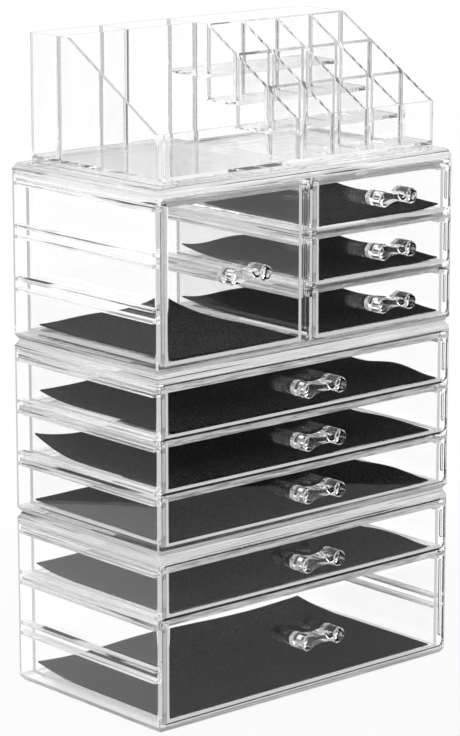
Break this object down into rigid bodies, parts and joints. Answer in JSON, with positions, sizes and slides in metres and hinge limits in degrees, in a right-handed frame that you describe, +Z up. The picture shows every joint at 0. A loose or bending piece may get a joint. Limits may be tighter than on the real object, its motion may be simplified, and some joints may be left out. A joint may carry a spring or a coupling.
{
  "type": "stacking drawer organizer",
  "caption": "Clear stacking organizer of drawer casings with sliding drawers, dog-bone pulls, black felt liners and a stepped open tray on top",
  "frame": {"origin": "centre of the underside of the lowest casing", "axes": "+Z up through the stack, -Y out of the drawer fronts, +X to the right seen from the front"},
  "size_m": [0.2404, 0.152, 0.4065],
  "materials": {
    "clear_casing": "clear moulded plastic, glossy",
    "clear_drawer": "clear moulded plastic, glossy",
    "clear_tray": "clear moulded plastic, glossy",
    "handle": "clear moulded plastic, milky with reflections",
    "liner": "short black felt, slightly fuzzy"
  },
  "bodies": {
    "lower_casing": {"lower_casing": "clear_casing"},
    "middle_casing": {"middle_casing": "clear_casing"},
    "upper_casing": {"upper_casing": "clear_casing"},
    "tray": {"tray": "clear_tray"},
    "lower_deep": {"lower_deep_drawer": "clear_drawer", "lower_deep_handle": "handle", "lower_deep_liner": "liner"},
    "lower_top": {"lower_top_drawer": "clear_drawer", "lower_top_handle": "handle", "lower_top_liner": "liner"},
    "middle_low": {"middle_low_drawer": "clear_drawer", "middle_low_handle": "handle", "middle_low_liner": "liner"},
    "middle_mid": {"middle_mid_drawer": "clear_drawer", "middle_mid_handle": "handle", "middle_mid_liner": "liner"},
    "middle_top": {"middle_top_drawer": "clear_drawer", "middle_top_handle": "handle", "middle_top_liner": "liner"},
    "upper_tall": {"upper_tall_drawer": "clear_drawer", "upper_tall_handle": "handle", "upper_tall_liner": "liner"},
    "upper_low": {"upper_low_drawer": "clear_drawer", "upper_low_handle": "handle", "upper_low_liner": "liner"},
    "upper_mid": {"upper_mid_drawer": "clear_drawer", "upper_mid_handle": "handle", "upper_mid_liner": "liner"},
    "upper_top": {"upper_top_drawer": "clear_drawer", "upper_top_handle": "handle", "upper_top_liner": "liner"}
  },
  "joints": [
    {"name": "middle_casing_lift", "type": "slide", "parent": "lower_casing", "child": "middle_casing", "axis": [0, 0, 1], "range_m": [0, 0.04]},
    {"name": "upper_casing_lift", "type": "slide", "parent": "middle_casing", "child": "upper_casing", "axis": [0, 0, 1], "range_m": [0, 0.04]},
    {"name": "tray_lift", "type": "slide", "parent": "upper_casing", "child": "tray", "axis": [0, 0, 1], "range_m": [0, 0.04]},
    {"name": "lower_deep_slide", "type": "slide", "parent": "lower_casing", "child": "lower_deep", "axis": [0, -1, 0], "range_m": [0, 0.115]},
    {"name": "lower_top_slide", "type": "slide", "parent": "lower_casing", "child": "lower_top", "axis": [0, -1, 0], "range_m": [0, 0.115]},
    {"name": "middle_low_slide", "type": "slide", "parent": "middle_casing", "child": "middle_low", "axis": [0, -1, 0], "range_m": [0, 0.115]},
    {"name": "middle_mid_slide", "type": "slide", "parent": "middle_casing", "child": "middle_mid", "axis": [0, -1, 0], "range_m": [0, 0.115]},
    {"name": "middle_top_slide", "type": "slide", "parent": "middle_casing", "child": "middle_top", "axis": [0, -1, 0], "range_m": [0, 0.115]},
    {"name": "upper_tall_slide", "type": "slide", "parent": "upper_casing", "child": "upper_tall", "axis": [0, -1, 0], "range_m": [0, 0.115]},
    {"name": "upper_low_slide", "type": "slide", "parent": "upper_casing", "child": "upper_low", "axis": [0, -1, 0], "range_m": [0, 0.115]},
    {"name": "upper_mid_slide", "type": "slide", "parent": "upper_casing", "child": "upper_mid", "axis": [0, -1, 0], "range_m": [0, 0.115]},
    {"name": "upper_top_slide", "type": "slide", "parent": "upper_casing", "child": "upper_top", "axis": [0, -1, 0], "range_m": [0, 0.115]}
  ]
}
